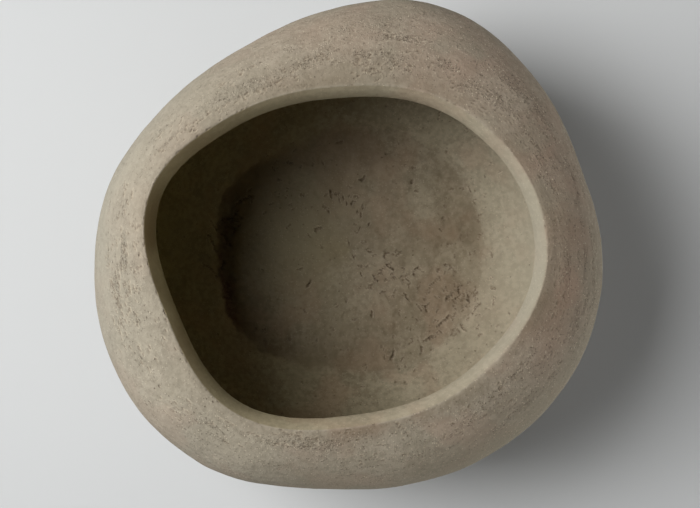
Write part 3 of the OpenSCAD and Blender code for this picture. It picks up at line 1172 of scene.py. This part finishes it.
# How far apart grains, pits and tears lie, the size of crumbs in torn clay, and the size
# of the patches of painted shade in the corner of the hollow
GRAINS_APART = 2.7 * MM
LARGE_PITS_APART, SMALL_PITS_APART = 7.0 * MM, 3.6 * MM
TEARS_APART = 5.0 * MM
TORN_CRUMBS, CREASE_SHADE_PATCHES = 2.2 * MM, 9.0 * MM
# Pits on the outside are this much longer round the shell than along the wall
LONGER_ROUND = (1, 1, 1.9)
ROUGHNESS = (0.84, 0.94)
SPECULAR = 0.12


def placed_group(tree, name, inputs):
    """The outputs of one of the layers, placed in a material."""
    return node(tree, "ShaderNodeGroup", inputs, node_tree=groups[name]).outputs


def attribute(tree, name):
    """A value that the net has written onto the mesh."""
    return node(tree, "ShaderNodeAttribute", attribute_name=name).outputs["Fac"]


def new_material(name):
    """A material, its tree, its Principled shader, and the place on the object."""
    material = bpy.data.materials.new(name)
    tree = emptied(material)
    shader = node(tree, "ShaderNodeBsdfPrincipled")
    node(tree, "ShaderNodeOutputMaterial", {"Surface": shader.outputs["BSDF"]})
    return material, tree, shader, node(tree, "ShaderNodeTexCoord").outputs["Object"]


# %% Pits, tone and hues of the clay
# How much the clouds and the sand change the tone, the sand also more where it is coarse,
# and how far the whole lies towards the pale clay
MIDDLE_CLOUDS, SMALL_CLOUDS = 0.32, 0.48
SAND_TONE, COARSE_SAND_TONE = 0.6, 0.8
PALER = 0.1
# Of the hue's cloud: where rosy clay begins and is full, and the same for olive clay
HUES = (("rosy", 0.45, 1.0, CLAY_ROSY), ("olive", 0.55, 0.0, CLAY_OLIVE))
# How far the clay goes towards the painted light in its zones
LIT_SHARE = 0.6
# The range of the amount over which tears begin to show, and the share of it that the
# large pits get
TEAR_AMOUNTS = (0.25, 0.75)
LARGE_PITS = 0.5


def fine_pits(tree, place, amount):
    """Large and small pits and short tears, the more the larger amount is."""
    tear = placed_group(tree, "clay_tears", {"Place": place, "Size": TEARS_APART})["Tear"]
    pit = times(tree, tear, softly(tree, amount, *TEAR_AMOUNTS))
    few = times(tree, amount, LARGE_PITS)
    for apart, share in ((LARGE_PITS_APART, few), (SMALL_PITS_APART, amount)):
        inputs = {"Place": place, "Size": apart, "Amount": share}
        pit = larger(tree, pit, placed_group(tree, "clay_pits", inputs)["Pit"])
    return pit


def clay_tone(tree, clouds, sand, rough_here, uneven, mottle):
    """The colour between deep and pale clay: clouds and sand, calmer where it is smooth."""
    tone = times(tree, clouds["Middle"], MIDDLE_CLOUDS)
    tone = plus(tree, tone, times(tree, clouds["Small"], SMALL_CLOUDS))
    sand_share = plus(tree, times(tree, rough_here, COARSE_SAND_TONE), SAND_TONE)
    sand_tone = times(tree, sand, times(tree, sand_share, uneven))
    tone = plus(tree, plus(tree, tone, sand_tone), PALER)
    tone = softly(tree, tone, 0.5 - 0.5 / mottle, 0.5 + 0.5 / mottle)
    tone = plus(tree, times(tree, centred(tree, tone), uneven), 0.5)
    return blended(tree, tone, CLAY_DEEP, CLAY_PALE)


def with_hues(tree, colour, hue_cloud, hue_share):
    """The colour with rosy and olive clay, in clouds and in zones, and with painted light."""
    for name, begins, full, hue in HUES:
        cloud = times(tree, softly(tree, hue_cloud, begins, full), hue_share)
        colour = blended(tree, larger(tree, cloud, attribute(tree, name)), colour, hue)
    # Painted light where the lamp falls full on the clay
    return blended(tree, times(tree, attribute(tree, "pale"), LIT_SHARE), colour, CLAY_LIT)


# %% Marks and painted shade on the clay
# How far the lips go pale, as grit and painted highlight, and the pits dark, as dust and painted
# shade
LIP_SHARE, PIT_SHARE = 0.5, 0.5
# How strongly the painted shade with wet-looking blotches shows, and the painted shade in the
# corner of the hollow
SHADE_AND_DAMP_SHARE, CREASE_SHADE_SHARE = 0.40, 0.85


def with_marks(tree, colour, pit, torn_here, torn):
    """The colour with lips of grit and painted highlight, pits and tears of dust and painted
    shade.
    """
    lip_here = times(tree, attribute(tree, "lips"), LIP_SHARE)
    colour = blended(tree, lip_here, colour, GRIT_PALE)
    colour = blended(tree, times(tree, pit, PIT_SHARE), colour, PIT_TONE)
    return blended(tree, times(tree, torn_here, torn), colour, PIT_TONE)


def with_painted_shade(tree, colour, place):
    """The colour with painted shade and wet-looking blotches, and the shade tinted yellow-brown.
    """
    # Breaks the painted shade in the corner into patches
    crumbs = noise_at(tree, place, 1 / CREASE_SHADE_PATCHES, 4.0, 0.7).outputs["Fac"]
    dirt = times(tree, attribute(tree, "dirt"), softly(tree, crumbs, 0.3, 0.6, 0.6, 1.0))
    colour = blended(tree, times(tree, attribute(tree, "damp"), SHADE_AND_DAMP_SHARE), colour, SHADE_AND_DAMP_TONE)
    colour = blended(tree, times(tree, dirt, CREASE_SHADE_SHARE), colour, CREASE_SHADE_TONE)
    # A yellow-brown tint on the painted shade in its zones
    return blended(tree, attribute(tree, "ochre"), colour, SHADE_TINT, "MULTIPLY")


# %% One function for the clay finishes
# How much less coarse the skin is between the bands, and how uneven smooth clay stays
BAND_CONTRAST = 0.8
SMOOTH_UNEVEN = 0.5
# How much green a warm tint keeps; the call says how much blue
WARM_GREEN = 0.985
# How strongly specks of grit show everywhere, and how much more where it is coarse
SPECKS, COARSE_SPECKS = 0.28, 0.8
# Heights of the relief in millimetres. The sand's is times one share everywhere, plus
# another where it is coarse
SAND_HEIGHT, SAND_SHARE, COARSE_SAND_SHARE = 1.1, 0.42, 1.8
CLOUD_HEIGHT, LINE_HEIGHT, PIT_HEIGHT, TORN_HEIGHT = 0.22, 0.12, -0.8, -0.4


def clay_finish(name, sand, pits, torn, bands=0.0, mottle=1.0, hue=0.5, lines=0.0, warm=1.0):
    """A clay material; the numbers say how strongly each layer shows."""
    material, tree, shader, place = new_material(name)
    wall = node(tree, "ShaderNodeAttribute", attribute_name="wall_place").outputs["Vector"]
    clouds = placed_group(tree, "clay_clouds", {"Place": place})
    grains = placed_group(tree, "clay_grit", {"Place": place, "Size": GRAINS_APART})
    rib = placed_group(tree, "rib_marks", {"Wall Place": wall})
    grainy = maths(tree, "SUBTRACT", 1.0, attribute(tree, "smooth"))
    uneven = softly(tree, grainy, 0.0, 1.0, SMOOTH_UNEVEN, 1.0)
    sand_here = centred(tree, grains["Relief"])

    in_bands = softly(tree, rib["Bands"], 0.0, 1.0, 1.0 - BAND_CONTRAST * bands, 1.0)
    rough_here = times(tree, attribute(tree, "coarse"), in_bands)
    pit_place = vector_maths(tree, "MULTIPLY", wall, LONGER_ROUND) if bands else place
    pit = fine_pits(tree, pit_place, times(tree, rough_here, pits))
    crumbly = noise_at(tree, place, 1 / TORN_CRUMBS, 2.0).outputs["Fac"]
    torn_here = softly(tree, crumbly, 0.35, 0.6, 0.25, 1.0)
    torn_here = times(tree, attribute(tree, "torn"), torn_here)

    colour = clay_tone(tree, clouds, sand_here, rough_here, uneven, mottle)
    colour = with_hues(tree, colour, clouds["Hue"], times(tree, grainy, hue))
    if warm < 1:
        colour = blended(tree, 1.0, colour, (1.0, WARM_GREEN, warm, 1), "MULTIPLY")
    specks = plus(tree, times(tree, rough_here, COARSE_SPECKS * sand), SPECKS * sand)
    specks = times(tree, specks, grainy)
    for speck, tone in (("Pale", GRIT_PALE), ("Dark", GRIT_DARK)):
        colour = blended(tree, times(tree, grains[speck], specks), colour, tone)
    colour = with_marks(tree, colour, pit, torn_here, torn)
    # Painted shade, with wet-looking blotches and a yellow-brown tint
    colour = with_painted_shade(tree, colour, place)
    tree.links.new(colour, shader.inputs["Base Color"])

    rough = softly(tree, clouds["Middle"], 0.0, 1.0, *ROUGHNESS)
    tree.links.new(rough, shader.inputs["Roughness"])
    shader.inputs["Specular IOR Level"].default_value = SPECULAR

    relief = times(tree, sand_here, SAND_HEIGHT * sand)
    sand_share = plus(tree, times(tree, rough_here, COARSE_SAND_SHARE), SAND_SHARE)
    relief = times(tree, relief, sand_share)
    for layer, height in (
        (clouds["Small"], CLOUD_HEIGHT), (rib["Lines"], LINE_HEIGHT * lines),
        (pit, PIT_HEIGHT), (torn_here, TORN_HEIGHT),
    ):
        relief = plus(tree, relief, times(tree, layer, height))
    bump = node(tree, "ShaderNodeBump", {"Height": relief, "Distance": MM})
    tree.links.new(bump.outputs["Normal"], shader.inputs["Normal"])
    return material


# %% The three finishes, and the faces that get each
OUTSIDE = dict(sand=1.6, pits=0.75, torn=0.58, bands=1.0, lines=1.0)
CUT = dict(sand=0.6, pits=0.0, torn=0.5, mottle=0.6, hue=0.3, lines=0.5, warm=0.94)
INSIDE = dict(sand=0.65, pits=0.2, torn=0.8, mottle=1.2, hue=0.5, warm=0.92)

mesh.materials.append(clay_finish("clay_outside", **OUTSIDE))
mesh.materials.append(clay_finish("clay_cut", **CUT))
mesh.materials.append(clay_finish("clay_inside", **INSIDE))

# The faces follow the net: the base's fan, then its rows, then the floor's fan
row_of_face = np.arange((rows - 1) * COLUMNS) // COLUMNS
cut_rows = [row_at(CUT_BEGINS), row_at(CUT_ENDS)]
slots = np.zeros(len(mesh.polygons), dtype=np.int32)
slots[COLUMNS:-COLUMNS] = np.searchsorted(cut_rows, row_of_face, side="right")
slots[-COLUMNS:] = 2
mesh.polygons.foreach_set("material_index", slots)
print("faces outside, on the cut and inside:", np.bincount(slots))

# %% [markdown]
# ## Rubber pads
#
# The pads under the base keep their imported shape. They only need a finish: dull black
# rubber with a faint grain and some dust from the clay.

# %% Rubber finish
RUBBER_BLACK = (0.02, 0.02, 0.02, 1)
RUBBER_DUST = (0.10, 0.09, 0.075, 1)
RUBBER_ROUGHNESS = (0.62, 0.82)
DUST_SHARE = 0.25
RUBBER_GRAIN = 0.8 * MM
RUBBER_GRAIN_DEPTH = 0.08 * MM


def rubber_finish():
    """Dull black rubber, a little dusty."""
    material, tree, shader, place = new_material("rubber")
    clouds = placed_group(tree, "clay_clouds", {"Place": place})
    dust = times(tree, clouds["Small"], DUST_SHARE)
    colour = blended(tree, dust, RUBBER_BLACK, RUBBER_DUST)
    rough = softly(tree, clouds["Small"], 0.0, 1.0, *RUBBER_ROUGHNESS)
    tree.links.new(colour, shader.inputs["Base Color"])
    tree.links.new(rough, shader.inputs["Roughness"])
    grain = noise_at(tree, place, 1 / RUBBER_GRAIN, 2.0).outputs["Fac"]
    bump = node(tree, "ShaderNodeBump", {"Height": grain, "Distance": RUBBER_GRAIN_DEPTH})
    tree.links.new(bump.outputs["Normal"], shader.inputs["Normal"])
    return material


rubber = rubber_finish()
pads = [pad for name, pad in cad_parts.items() if name.startswith("foot_pad")]
for pad in pads:
    for material_slot in pad.material_slots:
        material_slot.material = rubber
print("rubber on", len(pads), "pads")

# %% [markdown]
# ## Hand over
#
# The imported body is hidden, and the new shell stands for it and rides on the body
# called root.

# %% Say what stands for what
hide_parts("body")
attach(shell, "root")
